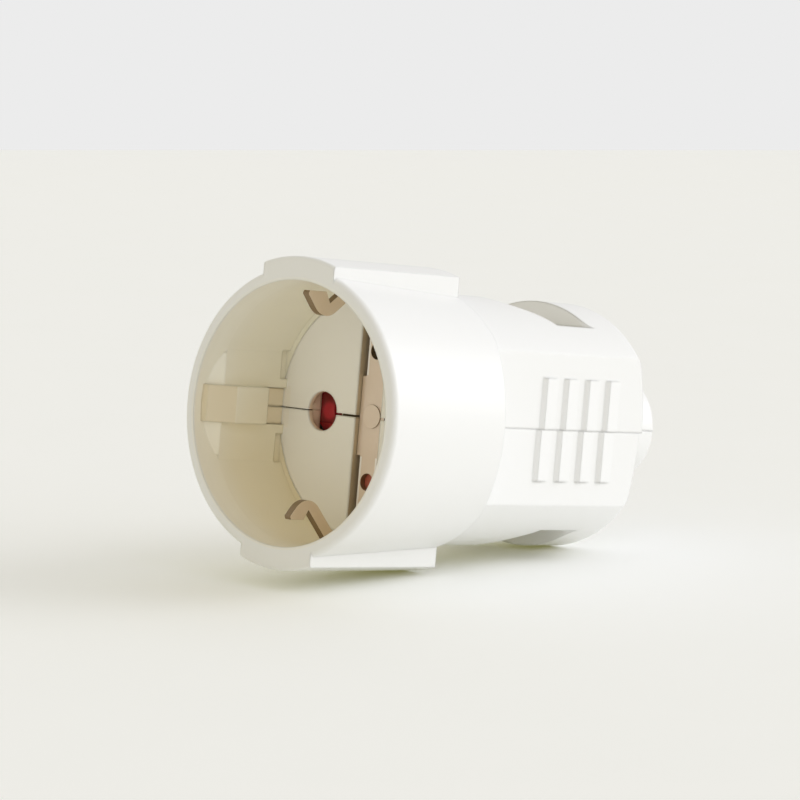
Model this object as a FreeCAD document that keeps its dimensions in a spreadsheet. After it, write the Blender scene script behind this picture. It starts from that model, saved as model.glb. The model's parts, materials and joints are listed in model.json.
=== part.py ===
import FreeCAD, Part
import math
import os
import re
import Sketcher

# In-line power socket: two half shells held together by a front sleeve and by screws.
# The origin is the centre of the plug mouth, +X runs along the axis to the cable end, +Z is up.

SIZES = {
    # front sleeve
    "cavity_radius": 19.6,
    "cavity_step": 0.2,
    "cavity_depth": 17.4,
    "mouth_depth": 1.6,
    "mouth_wall": 2.0,
    "mouth_edge_round": 0.9,
    "sleeve_rear_wall": 1.7,
    "side_flat_height": 2.1,
    "side_flat_ramp_run": 2.4,
    "side_flat_ramp_margin": 0.3,
    "side_flat_root": 0.1,
    "side_flat_relief_run": 1.5,
    "side_flat_relief_depth": 0.5,
    "side_flat_relief_start": 4.2,
    "side_flat_relief_end": 8.6,
    "guide_rib_height": 3.6,
    "guide_rib_width": 5.6,
    "guide_rib_lead": 1.2,
    "guide_rib_ramp_end": 5.5,
    "tab_rise": 1.5,
    "tab_wall": 1.3,
    "tab_width": 14.4,
    "tab_edge_round": 0.5,
    "arm_clearance": 0.3,
    "arm_channel_width": 4.0,
    "arm_channel_lead": 1.5,
    "snap_setback": 4.6,
    "snap_width": 1.2,
    "snap_height": 0.35,
    "snap_fit": 0.1,
    # half shells
    "spigot_length": 9.9,
    "spigot_step": 1.1,
    "spigot_fit": 0.05,
    "spigot_wall": 2.1,
    "key_length": 3.5,
    "key_gap": 1.7,
    "key_recess": 0.5,
    "key_inset": 0.2,
    "key_clearance": 0.06,
    "grip_step": 0.8,
    "finger_ramp_length": 7.4,
    "finger_ramp_drop": 1.2,
    "finger_ramp_margin": 0.1,
    "grip_wall": 2.4,
    "panel_depth": 3.9,
    "panel_wall": 2.0,
    "panel_ramp_run": 2.2,
    "panel_ramp_rise": 6.0,
    "waist_front_wall": 2.0,
    "waist_length": 7.6,
    "waist_depth": 3.5,
    "waist_wall_round": 2.2,
    "waist_wall_overlap": 0.1,
    "waist_floor_wall": 2.0,
    "shoulder_run": 4.8,
    "shoulder_round": 1.6,
    "collar_radius": 8.7,
    "collar_length": 8.9,
    "collar_round": 1.2,
    "cable_bore_radius": 4.4,
    "rear_wall": 2.0,
    "shell_stagger": 0.6,
    "grip_rib_setback": 11.7,
    "grip_rib_count": 4,
    "grip_rib_pitch": 5.0,
    "grip_rib_height": 0.6,
    "grip_rib_front_run": 0.6,
    "grip_rib_back_run": 3.2,
    "grip_rib_half_length": 7.9,
    # cavity floor and pin holes
    "floor_thickness": 2.8,
    "floor_gap": 0.15,
    "floor_gap_wide": 0.35,
    "floor_gap_depth": 1.2,
    "pin_hole_radius": 3.0,
    "pin_hole_depth": 1.0,
    "pin_channel_width": 6.0,
    "pin_channel_height": 8.0,
    "partition_thickness": 1.4,
    "partition_hole_radius": 3.3,
    "hollow_top_half_width": 4.5,
    "hollow_end_gap": 0.4,
    # earth bracket
    "strip_thickness": 1.0,
    "strip_recess": 0.9,
    "strip_middle_width": 5.0,
    "strip_middle_half_length": 6.0,
    "strip_arm_width": 3.5,
    "strip_slot_width": 5.2,
    "strip_slot_depth": 2.2,
    "strip_seat_half_length": 5.0,
    "strip_hole_position": 9.9,
    "strip_hole_radius": 1.3,
    "strip_window_radius": 2.5,
    "strip_boss_radius": 1.8,
    "strip_boss_height": 0.2,
    "arm_reach": 5.9,
    "hook_thickness": 1.2,
    "hook_nose_round": 3.2,
    "hook_tip_round": 0.25,
    "hook_lip": 0.5,
    "hook_heel": 0.9,
    "hook_throat": 3.0,
    "hook_leg_width": 1.8,
    "hook_tip_position": 1.9,
    "top_hook_nose_position": 5.5,
    "top_hook_reach": 6.1,
    "top_hook_tip_gap": 1.9,
    "top_hook_leg_run": 1.38,
    "bottom_hook_nose_position": 5.3,
    "bottom_hook_reach": 8.45,
    "bottom_hook_tip_gap": 4.5,
    "bottom_hook_leg_run": 0.95,
    "tail_step": 1.4,
    "tail_drop_inset": 0.7,
    "tail_seat_gap": 0.1,
    "tail_overhang": 1.0,
    "tail_slot_clearance": 0.15,
    # shutter and its spring
    "shutter_thickness": 3.4,
    "shutter_gap": 0.1,
    "shutter_pad_half_width": 3.3,
    "shutter_pad_top": 3.6,
    "shutter_pad_bottom": 3.4,
    "shutter_bridge_top": 1.5,
    "shutter_bridge_bottom": 3.0,
    "shutter_foot_half_width": 4.2,
    "shutter_foot_end": 12.4,
    "shutter_peg_half_width": 1.45,
    "shutter_peg_half_height": 1.6,
    "shutter_peg_clearance": 0.15,
    "shutter_travel": 6.0,
    "shutter_ramp_top": 1.8,
    "shutter_ramp_depth": 1.6,
    "shutter_dish_radius": 1.4,
    "shutter_dish_offset": 1.1,
    "shutter_dish_height": 0.3,
    "shutter_dish_depth": 0.8,
    "shutter_guide_wall": 1.4,
    "shutter_guide_top": 4.0,
    "spring_coil_radius": 1.25,
    "spring_wire_radius": 0.22,
    "spring_turns": 9.0,
    "spring_seat_gap": 0.1,
    "spring_end_gap": 0.08,
    # contacts and terminals
    "contact_bore_radius": 2.35,
    "contact_radius": 3.2,
    "contact_length": 10.6,
    "contact_end_wall": 1.0,
    "contact_slit": 0.7,
    "contact_slit_length": 8.6,
    "contact_tail_radius": 1.5,
    "contact_tail_length": 3.4,
    "ring_setback": 3.8,
    "ring_width": 3.0,
    "ring_thickness": 0.5,
    "ring_fit": 0.03,
    "block_gap": 2.2,
    "block_side_gap": 0.4,
    "block_length": 6.0,
    "block_width": 7.0,
    "block_height": 7.0,
    "block_wire_radius": 1.6,
    "block_seat_width": 5.0,
    "block_seat_inset": 1.0,
    "earth_block_gap": 7.4,
    "earth_block_length": 6.0,
    "earth_block_width": 7.0,
    "earth_block_height": 6.0,
    "terminal_screw_radius": 1.3,
    "terminal_screw_head_radius": 2.0,
    "terminal_screw_head_height": 1.5,
    "terminal_screw_length": 2.4,
    "screw_slot_width": 0.7,
    "screw_slot_depth": 0.7,
    "screw_fit": 0.03,
    # cord clamp
    "clamp_setback": 3.2,
    "clamp_rear_gap": 0.7,
    "clamp_length": 4.6,
    "clamp_width": 21.0,
    "clamp_base": 2.0,
    "clamp_height": 3.6,
    "clamp_saddle_radius": 4.6,
    "clamp_screw_edge": 2.5,
    "clamp_screw_radius": 1.3,
    "clamp_screw_head_radius": 2.0,
    "clamp_screw_head_height": 1.5,
    "clamp_screw_length": 9.0,
    "clamp_post_radius": 2.3,
    "saddle_half_width": 5.2,
    "saddle_top": 1.0,
    # housing screws
    "housing_screw_spacing": 13.0,
    "housing_screw_radius": 1.3,
    "housing_screw_head_radius": 2.4,
    "housing_screw_head_height": 1.6,
    "housing_screw_recess": 4.2,
    "housing_screw_length": 18.0,
    "housing_boss_radius": 4.0,
    "housing_hole_radius": 1.6,
    "housing_counterbore_radius": 2.7,
    # how far cuts run past a face, and how far joined features sink into each other
    "cut_overrun": 1.0,
    "weld_overlap": 0.5,
}

# Sizes that follow from the ones above, each after those that it uses.
DERIVED = {
    "sleeve_length": "cavity_depth + spigot_length",
    "snap_position": "cavity_depth + snap_setback",
    "key_front": "cavity_depth - key_length",
    "guide_rib_end": "key_front - key_gap",
    "arm_front": "cavity_depth - arm_reach",
    "arm_channel_start": "arm_front - arm_channel_lead",
    "mouth_outer_radius": "cavity_radius + mouth_wall",
    "inner_radius": "cavity_radius - cavity_step",
    "flat_ramp_end": "mouth_depth + side_flat_ramp_run",
    "side_flat_distance": "cavity_radius - side_flat_height",
    "guide_rib_distance": "cavity_radius - guide_rib_height",
    "tab_radius": "mouth_outer_radius + tab_rise",
    "arm_height": "tab_radius - tab_wall - arm_clearance",
    "arm_inner_height": "arm_height - strip_thickness",
    "spigot_radius": "cavity_radius - spigot_step",
    "sleeve_rear_radius": "spigot_radius + sleeve_rear_wall",
    "key_outer": "spigot_radius - key_inset",
    "grip_radius": "spigot_radius + grip_step",
    "panel_distance": "grip_radius - panel_depth",
    "waist_height": "grip_radius - waist_depth",
    "waist_half_width": "sqrt(grip_radius ^ 2 - waist_height ^ 2)",
    "waist_wall_half_width": "waist_half_width - waist_wall_round + waist_wall_overlap",
    "waist_lip_height": "grip_radius - finger_ramp_drop",
    "finger_ramp_depth": "waist_lip_height - waist_height - finger_ramp_margin",
    "finger_ramp_offset": "(grip_radius ^ 2 - waist_lip_height ^ 2) / 2 / finger_ramp_depth",
    "finger_ramp_radius": "grip_radius + finger_ramp_offset",
    "housing_screw_seat": "waist_height - housing_screw_recess",
    "hollow_radius": "grip_radius - grip_wall",
    "hollow_side": "panel_distance - panel_wall",
    "pin_spacing": "2 * (hollow_side - block_side_gap) - block_width",
    "shutter_pad_inner": "pin_spacing / 2 - shutter_pad_half_width",
    "shutter_pad_outer": "pin_spacing / 2 + shutter_pad_half_width",
    "hollow_corner": "sqrt(hollow_radius ^ 2 - hollow_side ^ 2)",
    "hollow_roof": "waist_height - waist_floor_wall",
    "hollow_roof_side": "sqrt(hollow_radius ^ 2 - hollow_roof ^ 2)",
    "hollow_top": "sqrt(hollow_radius ^ 2 - hollow_top_half_width ^ 2)",
    "floor_back": "cavity_depth + floor_thickness",
    "strip_front": "cavity_depth + strip_recess",
    "strip_back": "strip_front + strip_thickness",
    "shutter_front": "floor_back + shutter_gap",
    "shutter_peg_front": "strip_back + shutter_peg_clearance",
    "shutter_middle": "shutter_front + shutter_thickness / 2",
    "shutter_back": "shutter_front + shutter_thickness",
    "partition_front": "shutter_back + shutter_gap",
    "partition_back": "partition_front + partition_thickness",
    "chamber_radius": "spigot_radius - spigot_wall",
    "tail_height": "arm_height - tail_step",
    "tail_seat_height": "hollow_top - tail_seat_gap",
    "tail_seat_base": "tail_seat_height - strip_thickness",
    "earth_block_base": "tail_seat_base - earth_block_height",
    "tail_drop_position": "sleeve_length - tail_drop_inset",
    "earth_block_position": "tail_drop_position + earth_block_gap",
    "tail_length": "earth_block_position + earth_block_length + tail_overhang",
    "contact_end": "partition_back + contact_length",
    "ring_position": "partition_back + ring_setback",
    "block_position": "contact_end + block_gap",
    "line_screw_position": "block_position + block_length / 2 + contact_tail_length / 2",
    "earth_screw_position": "earth_block_position + earth_block_length / 2",
    "hollow_front_end": "block_position + block_length + hollow_end_gap",
    "waist_start": "hollow_front_end + waist_front_wall",
    "finger_ramp_start": "waist_start - finger_ramp_length",
    "waist_wall_position": "waist_start + waist_length",
    "housing_screw_position": "waist_start + waist_length / 2",
    "clamp_position": "waist_wall_position + clamp_setback",
    "clamp_screw_spacing": "clamp_width - 2 * clamp_screw_edge",
    "clamp_top": "clamp_base + clamp_height",
    "clamp_front": "clamp_position - clamp_length / 2",
    "clamp_back": "clamp_position + clamp_length / 2",
    "rear_wall_position": "clamp_back + clamp_rear_gap",
    "shoulder_position": "rear_wall_position + rear_wall",
    "collar_position": "shoulder_position + shoulder_run",
    "body_length": "collar_position + collar_length",
    "grip_rib_position": "sleeve_length + grip_rib_setback",
}
HANDS = (("left", ""), ("right", "-"))
TOLERANCE = 0.01

doc = FreeCAD.newDocument("inline_power_socket")


def bound(text):
    """The expression with every size name pointed at its sheet."""
    def pointed(found):
        name = found.group()
        if name in SIZES:
            return "Sizes." + name
        return "Derived." + name if name in DERIVED else name
    return re.sub(r"[a-z_]\w*", pointed, text)


def fill_sheet(name, cells):
    sheet = doc.addObject("Spreadsheet::Sheet", name)
    for row, (alias, content) in enumerate(cells.items(), 1):
        sheet.set("A%d" % row, alias)
        sheet.set("B%d" % row, content)
        sheet.setAlias("B%d" % row, alias)
    doc.recompute()
    return sheet


sizes_sheet = fill_sheet("Sizes", {name: str(number) for name, number in SIZES.items()})
formulas = {name: "=" + bound(text).replace("Derived.", "") for name, text in DERIVED.items()}
derived_sheet = fill_sheet("Derived", formulas)


def size(name):
    return float((derived_sheet if name in DERIVED else sizes_sheet).get(name))


def bind(thing, path, text):
    thing.setExpression(path, bound(text))


def new_body(name):
    body = doc.addObject("PartDesign::Body", name)
    body.Label = name
    return body


def new_sketch(body, plane, name, offset="0"):
    sketch = body.newObject("Sketcher::SketchObject", name)
    support = [feature for feature in body.Origin.OriginFeatures if feature.Role == plane]
    sketch.AttachmentSupport = (support[0], [""])
    sketch.MapMode = "FlatFace"
    bind(sketch, "AttachmentOffset.Base.z", offset)
    return sketch


def pin_point(sketch, geometry, position, place):
    """Ties a point of the sketch to its two coordinates; None leaves one free."""
    start = sketch.getPoint(geometry, position)
    for axis, line, text, now in (("X", -2, place[0], start.x), ("Y", -1, place[1], start.y)):
        if text is None:
            continue
        if text == "0":
            sketch.addConstraint(Sketcher.Constraint("PointOnObject", geometry, position, line))
            continue
        number = sketch.addConstraint(Sketcher.Constraint("Distance" + axis, -1, 1, geometry, position, now))
        bind(sketch, "Constraints[%d]" % number, text)


def pin_radius(sketch, geometry, text):
    now = sketch.Geometry[geometry].Radius
    number = sketch.addConstraint(Sketcher.Constraint("Radius", geometry, now))
    bind(sketch, "Constraints[%d]" % number, text)


def add_polygon(sketch, places):
    """A closed outline of straight lines through the given places."""
    count = len(places)
    angles = [2 * math.pi * i / count for i in range(count)]
    starts = [FreeCAD.Vector(math.cos(a), math.sin(a), 0) * size("cavity_depth") for a in angles]
    lines = [sketch.addGeometry(Part.LineSegment(starts[i], starts[(i + 1) % count])) for i in range(count)]
    for i in range(count):
        sketch.addConstraint(Sketcher.Constraint("Coincident", lines[i], 2, lines[(i + 1) % count], 1))
    for i in range(count):
        pin_point(sketch, lines[i], 1, places[i])


def add_box(sketch, low, high):
    add_polygon(sketch, [(low[0], low[1]), (high[0], low[1]), (high[0], high[1]), (low[0], high[1])])


def add_circle(sketch, place, radius):
    circle = sketch.addGeometry(Part.Circle(FreeCAD.Vector(1, 1, 0), FreeCAD.Vector(0, 0, 1), 1))
    pin_point(sketch, circle, 3, place)
    pin_radius(sketch, circle, radius)


def add_outline(sketch, corners, arcs):
    """A closed outline of lines and anticlockwise arcs.

    Each corner is a start point and its two coordinates. An arc is listed under the corner it starts from,
    with the start point of its centre, the centre's two coordinates and its radius.
    """
    count = len(corners)
    points = [FreeCAD.Vector(corner[0][0], corner[0][1], 0) for corner in corners]
    edges = []
    for i in range(count):
        first, last = points[i], points[(i + 1) % count]
        if i not in arcs:
            edges.append(sketch.addGeometry(Part.LineSegment(first, last)))
            continue
        centre = FreeCAD.Vector(arcs[i][0][0], arcs[i][0][1], 0)
        ring = Part.Circle(centre, FreeCAD.Vector(0, 0, 1), (first - centre).Length)
        angle_first = math.atan2(first.y - centre.y, first.x - centre.x)
        angle_last = math.atan2(last.y - centre.y, last.x - centre.x)
        if angle_last < angle_first:
            angle_last += 2 * math.pi
        edges.append(sketch.addGeometry(Part.ArcOfCircle(ring, angle_first, angle_last)))
    for i in range(count):
        sketch.addConstraint(Sketcher.Constraint("Coincident", edges[i], 2, edges[(i + 1) % count], 1))
    for i in range(count):
        pin_point(sketch, edges[i], 1, corners[i][1])
        if i in arcs:
            pin_point(sketch, edges[i], 3, arcs[i][1])
            pin_radius(sketch, edges[i], arcs[i][2])


def add_trimmed_round(sketch, half_text, half, radius_name):
    """A round with its two sides cut off straight."""
    rise = math.sqrt(size(radius_name) ** 2 - half ** 2)
    right, left = (half_text, None), ("-(%s)" % half_text, None)
    corners = [((half, -rise), right), ((half, rise), right), ((-half, rise), left), ((-half, -rise), left)]
    arc = ((0, 0), ("0", "0"), radius_name)
    add_outline(sketch, corners, {1: arc, 3: arc})


def extrude(body, kind, sketch, length):
    """A pad or a pocket that reaches half its length to each side of its sketch."""
    feature = body.newObject("PartDesign::" + kind, sketch.Name + "_" + kind.lower())
    feature.Profile = sketch
    feature.SideType = "Symmetric"
    bind(feature, "Length", length)
    return feature


def span(body, plane, name, low, high):
    """A sketch half-way between two planes, and the length from one to the other."""
    sketch = new_sketch(body, plane, name, "((%s) + (%s)) / 2" % (low, high))
    return sketch, "(%s) - (%s)" % (high, low)


def box(body, kind, name, low, high):
    """A block or a cut from one corner to the opposite one, in X, Y and Z."""
    sketch, length = span(body, "YZ_Plane", name, low[0], high[0])
    add_box(sketch, low[1:], high[1:])
    return extrude(body, kind, sketch, length)


def rod(body, kind, plane, name, place, radius, low, high):
    """A round bar or hole on an axis across the given plane."""
    sketch, length = span(body, plane, name, low, high)
    add_circle(sketch, place, radius)
    return extrude(body, kind, sketch, length)


def turn(body, kind, plane, name, places, angle="360", downwards=False):
    """A solid or a groove turned about the sketch's horizontal axis."""
    sketch = new_sketch(body, plane, name)
    add_polygon(sketch, places)
    feature = body.newObject("PartDesign::" + kind, name + "_" + kind.lower())
    feature.Profile = sketch
    feature.ReferenceAxis = (sketch, ["H_Axis"])
    bind(feature, "Angle", angle)
    feature.Reversed = downwards
    return feature


def round_edges(body, base, name, radius, wanted):
    """Rounds the edges of a feature that the test picks."""
    doc.recompute()
    names = ["Edge%d" % (i + 1) for i, edge in enumerate(base.Shape.Edges) if wanted(edge)]
    feature = body.newObject("PartDesign::Fillet", name)
    feature.Base = (base, names)
    bind(feature, "Radius", radius)
    return feature


def near(a, b):
    return abs(a - b) < TOLERANCE


def is_ring_at(edge, position, radius):
    curve = edge.Curve
    if curve.TypeId != "Part::GeomCircle":
        return False
    return near(curve.Center.x, position) and near(curve.Radius, radius) and near(abs(curve.Axis.x), 1)


def is_cross_edge(edge, places):
    """Whether a straight edge along Y goes through one of the places in X and Z."""
    middle = edge.CenterOfMass
    if edge.Curve.TypeId != "Part::GeomLine" or not near(edge.BoundBox.XLength + edge.BoundBox.ZLength, 0):
        return False
    return any(near(middle.x, x) and near(middle.z, z) for x, z in places)


def cut_panels(body):
    """Cuts both side panels, with their slanting front walls, through the whole height."""
    end, outer = "body_length + cut_overrun", "panel_distance + panel_ramp_rise"
    plan = [("sleeve_length", "panel_distance"), ("sleeve_length - panel_ramp_run", outer)]
    plan += [(end, outer), (end, "panel_distance")]
    for word, sign in HANDS:
        sketch = new_sketch(body, "XY_Plane", body.Name + "_panel_" + word)
        add_polygon(sketch, [(x, "%s(%s)" % (sign, y)) for x, y in plan])
        extrude(body, "Pocket", sketch, "2 * (tab_radius + cut_overrun)")


def cut_cavity(body):
    """Round mouth, a short cone, and the cavity between its two side flats."""
    rod(body, "Pocket", "YZ_Plane", "sleeve_mouth", ("0", "0"), "cavity_radius",
        "-cut_overrun", "mouth_depth")
    cone = [("mouth_depth", "0"), ("mouth_depth", "cavity_radius")]
    cone += [("flat_ramp_end", "inner_radius"), ("flat_ramp_end", "0")]
    turn(body, "Groove", "XZ_Plane", "sleeve_cone", cone)
    sketch, length = span(body, "YZ_Plane", "sleeve_cavity", "flat_ramp_end", "cavity_depth")
    add_trimmed_round(sketch, "side_flat_distance", size("side_flat_distance"), "inner_radius")
    extrude(body, "Pocket", sketch, length)


def add_flat_ramps(body):
    """Lead-in ramp in front of each side flat, and the reliefs where the flat meets the cavity floor."""
    wall, root = "side_flat_distance", "cavity_radius + side_flat_root"
    plan = [("mouth_depth", root), ("flat_ramp_end", wall)]
    plan += [("flat_ramp_end + weld_overlap", wall), ("flat_ramp_end + weld_overlap", root)]
    height = "2 * sqrt(inner_radius ^ 2 - (%s + side_flat_ramp_margin) ^ 2)" % wall
    for word, sign in HANDS:
        sketch = new_sketch(body, "XY_Plane", "sleeve_flat_ramp_" + word)
        add_polygon(sketch, [(x, "%s(%s)" % (sign, y)) for x, y in plan])
        extrude(body, "Pad", sketch, height)
        for level, up in (("top", ""), ("bottom", "-")):
            box(body, "Pocket", "sleeve_flat_relief_%s_%s" % (level, word),
                ("cavity_depth - side_flat_relief_run", "%s(%s - weld_overlap)" % (sign, wall),
                 up + "side_flat_relief_start"),
                ("cavity_depth", "%s(%s + side_flat_relief_depth)" % (sign, wall),
                 up + "side_flat_relief_end"))


def add_guide_ribs(body):
    """Guide rib in the middle of each side flat, and the keyway behind it."""
    root = "cavity_radius + weld_overlap"
    plan = [("mouth_depth", root), ("mouth_depth", "cavity_radius - guide_rib_lead")]
    plan += [("guide_rib_ramp_end", "guide_rib_distance"), ("guide_rib_end", "guide_rib_distance")]
    plan += [("guide_rib_end", root)]
    for word, sign in HANDS:
        sketch = new_sketch(body, "XY_Plane", "sleeve_guide_rib_" + word)
        add_polygon(sketch, [(x, "%s(%s)" % (sign, y)) for x, y in plan])
        extrude(body, "Pad", sketch, "guide_rib_width")
        box(body, "Pocket", "sleeve_keyway_" + word,
            ("guide_rib_end", "%s(guide_rib_distance)" % sign, "-guide_rib_width / 2"),
            ("cavity_depth", "%s(key_outer + key_clearance)" % sign, "guide_rib_width / 2"))


def make_sleeve():
    body = new_body("front_sleeve")
    profile = [("0", "0"), ("0", "mouth_outer_radius")]
    profile += [("sleeve_length", "sleeve_rear_radius"), ("sleeve_length", "0")]
    barrel = turn(body, "Revolution", "XZ_Plane", "sleeve_barrel", profile)
    round_edges(body, barrel, "mouth_round", "mouth_edge_round",
                lambda edge: is_ring_at(edge, 0, size("mouth_outer_radius")))
    sketch, length = span(body, "YZ_Plane", "sleeve_tabs", "0", "sleeve_length")
    add_trimmed_round(sketch, "tab_width / 2", size("tab_width") / 2, "tab_radius")
    tabs = extrude(body, "Pad", sketch, length)
    round_edges(body, tabs, "tab_round", "tab_edge_round",
                lambda edge: is_ring_at(edge, 0, size("tab_radius")))
    cut_cavity(body)
    add_flat_ramps(body)
    add_guide_ribs(body)
    bore, end = "spigot_radius + spigot_fit", "sleeve_length + cut_overrun"
    rod(body, "Pocket", "YZ_Plane", "sleeve_bore", ("0", "0"), bore, "cavity_depth", end)
    front, back = "snap_position - snap_fit", "snap_position + snap_width + snap_fit"
    groove = [(front, "0"), (back, "0"), (back, bore + " + snap_height"), (front, bore + " + snap_height")]
    turn(body, "Groove", "XZ_Plane", "sleeve_snap", groove)
    roof = "(arm_height + arm_clearance)"
    box(body, "Pocket", "sleeve_arm_channels", ("arm_channel_start", "-arm_channel_width / 2", "-" + roof),
        (end, "arm_channel_width / 2", roof))
    cut_panels(body)
    return body


def shell_profile(back):
    """Half outline of the grip from the cavity floor to the cable collar."""
    profile = [("cavity_depth", "0"), ("cavity_depth", "spigot_radius")]
    profile += [("snap_position", "spigot_radius")]
    profile += [("snap_position + snap_width / 2", "spigot_radius + snap_height")]
    profile += [("snap_position + snap_width", "spigot_radius"), ("sleeve_length", "spigot_radius")]
    profile += [("sleeve_length", "grip_radius"), ("shoulder_position - " + back, "grip_radius")]
    profile += [("collar_position - " + back, "collar_radius")]
    profile += [("body_length", "collar_radius"), ("body_length", "0")]
    return profile


def cut_hollows(body, side, word):
    """Shutter chamber, main hollow, waist hollow and cable bore of a half shell."""
    chamber = [("floor_back", "0"), ("partition_front", "0")]
    chamber += [("partition_front", "chamber_radius"), ("floor_back", "chamber_radius")]
    turn(body, "Groove", "XZ_Plane", word + "_chamber", chamber)
    low = [("hollow_side", "0"), ("hollow_side", "hollow_corner"), ("hollow_roof_side", "hollow_roof")]
    top = [("hollow_top_half_width", "hollow_top")]
    hollows = (("hollow", low + top, "hollow_front_end"), ("waist_hollow", low, "rear_wall_position"))
    for name, places, end in hollows:
        outline = [("-" + y, z) for y, z in places] + places[::-1]
        sketch, length = span(body, "YZ_Plane", word + "_" + name, "partition_back", end)
        add_polygon(sketch, [(y, z if z == "0" else side + z) for y, z in outline])
        extrude(body, "Pocket", sketch, length)
    rod(body, "Pocket", "YZ_Plane", word + "_cable_bore", ("0", "0"), "cable_bore_radius",
        "rear_wall_position - cut_overrun", "body_length + cut_overrun")


def cut_finger_ramp(body, side, word):
    """Shallow ramp down to the waist's front lip, turned about a line beyond the middle of the grip."""
    sketch = new_sketch(body, "XZ_Plane", word + "_finger_ramp")
    away = "" if side else "-"
    bind(sketch, "AttachmentOffset.Base.y", away + "finger_ramp_offset")
    outer = side + "(finger_ramp_radius + cut_overrun)"
    lip = side + "(finger_ramp_radius - finger_ramp_drop)"
    add_polygon(sketch, [("finger_ramp_start", side + "finger_ramp_radius"), ("finger_ramp_start", outer),
                         ("waist_start", outer), ("waist_start", lip)])
    ramp = body.newObject("PartDesign::Groove", word + "_finger_ramp_groove")
    ramp.Profile = sketch
    ramp.ReferenceAxis = (sketch, ["H_Axis"])
    bind(ramp, "Angle", "360")


def cut_waist(body, side, word):
    """Finger waist: a sharp front lip, a flat floor and a rear wall with rounded ends."""
    sketch = new_sketch(body, "XY_Plane", word + "_waist", side + "(waist_height + tab_radius) / 2")
    start, wall = size("waist_start"), size("waist_wall_position")
    half, radius, wide = size("waist_wall_half_width"), size("waist_wall_round"), size("tab_radius")
    end, end_text = wall + radius, "waist_wall_position + waist_wall_round"
    corners = [((start, wide), ("waist_start", "tab_radius")), ((end, wide), (end_text, "tab_radius"))]
    corners += [((end, half + radius), (end_text, None)), ((wall, half), (None, "waist_wall_half_width"))]
    corners += [((wall, -half), (None, "-waist_wall_half_width")), ((end, -half - radius), (end_text, None))]
    corners += [((end, -wide), (end_text, "-tab_radius")), ((start, -wide), ("waist_start", "-tab_radius"))]
    left = ((end, half), (end_text, "waist_wall_half_width"), "waist_wall_round")
    right = ((end, -half), (end_text, "-waist_wall_half_width"), "waist_wall_round")
    add_outline(sketch, corners, {2: left, 4: right})
    extrude(body, "Pocket", sketch, "tab_radius - waist_height")


def cut_floor(body, side, word):
    """Pin holes with their channels, and the seat and slot of the earth strip."""
    front = "cavity_depth - cut_overrun"
    for hand, sign in HANDS:
        pin = sign + "pin_spacing / 2"
        rod(body, "Pocket", "YZ_Plane", word + "_pin_hole_" + hand, (pin, "0"), "pin_hole_radius",
            front, "floor_back")
        rod(body, "Pocket", "YZ_Plane", word + "_partition_hole_" + hand, (pin, "0"), "partition_hole_radius",
            "partition_front", "partition_back")
        box(body, "Pocket", word + "_pin_channel_" + hand,
            ("cavity_depth + pin_hole_depth", pin + " - pin_channel_width / 2", "-pin_channel_height / 2"),
            ("floor_back", pin + " + pin_channel_width / 2", "pin_channel_height / 2"))
    box(body, "Pocket", word + "_strip_seat", (front, "-strip_slot_width / 2", "-strip_seat_half_length"),
        ("strip_back", "strip_slot_width / 2", "strip_seat_half_length"))
    box(body, "Pocket", word + "_strip_slot",
        (front, "-strip_slot_width / 2", side + "strip_seat_half_length"),
        ("cavity_depth + strip_slot_depth", "strip_slot_width / 2", side + "(spigot_radius + cut_overrun)"))


def add_keys(body, side, word):
    """Keys in front of the cavity floor that stop the shells from turning in the sleeve."""
    for hand, sign in HANDS:
        box(body, "Pad", word + "_key_" + hand,
            ("key_front", "%s(side_flat_distance + key_recess)" % sign, "0"),
            ("cavity_depth + weld_overlap", sign + "key_outer",
             side + "(guide_rib_width / 2 - key_clearance)"))


def add_grip_ribs(body, side, word, back):
    """Saw-tooth ribs on both side panels, repeated along the grip."""
    sketch = new_sketch(body, "XY_Plane", word + "_grip_rib", side + "grip_rib_half_length / 2")
    begin = "grip_rib_position - " + back
    crest, end = begin + " + grip_rib_front_run", begin + " + grip_rib_front_run + grip_rib_back_run"
    plan = [(begin, "panel_distance - weld_overlap"), (begin, "panel_distance")]
    plan += [(crest, "panel_distance + grip_rib_height")]
    plan += [(end, "panel_distance"), (end, "panel_distance - weld_overlap")]
    for _, sign in HANDS:
        add_polygon(sketch, [(x, "%s(%s)" % (sign, y)) for x, y in plan])
    rib = extrude(body, "Pad", sketch, "grip_rib_half_length")
    pattern = body.newObject("PartDesign::LinearPattern", word + "_grip_rib_row")
    pattern.Originals = [rib]
    pattern.Direction = (sketch, ["H_Axis"])
    bind(pattern, "Length", "(grip_rib_count - 1) * grip_rib_pitch")
    bind(pattern, "Occurrences", "grip_rib_count")
    body.Tip = pattern


def make_shell(word, side, back):
    """One half shell with everything that both halves share."""
    body = new_body(word + "_shell")
    blank = turn(body, "Revolution", "XY_Plane", word + "_blank", shell_profile(back), "180", side == "-")
    shoulder_at = size("shoulder_position") - (0 if back == "0" else size(back))
    shoulder = round_edges(body, blank, word + "_shoulder_round", "shoulder_round",
                           lambda edge: is_ring_at(edge, shoulder_at, size("grip_radius")))
    round_edges(body, shoulder, word + "_collar_round", "collar_round",
                lambda edge: is_ring_at(edge, size("body_length"), size("collar_radius")))
    cut_hollows(body, side, word)
    cut_panels(body)
    cut_finger_ramp(body, side, word)
    cut_waist(body, side, word)
    cut_floor(body, side, word)
    add_keys(body, side, word)
    add_grip_ribs(body, side, word, back)
    return body


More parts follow.
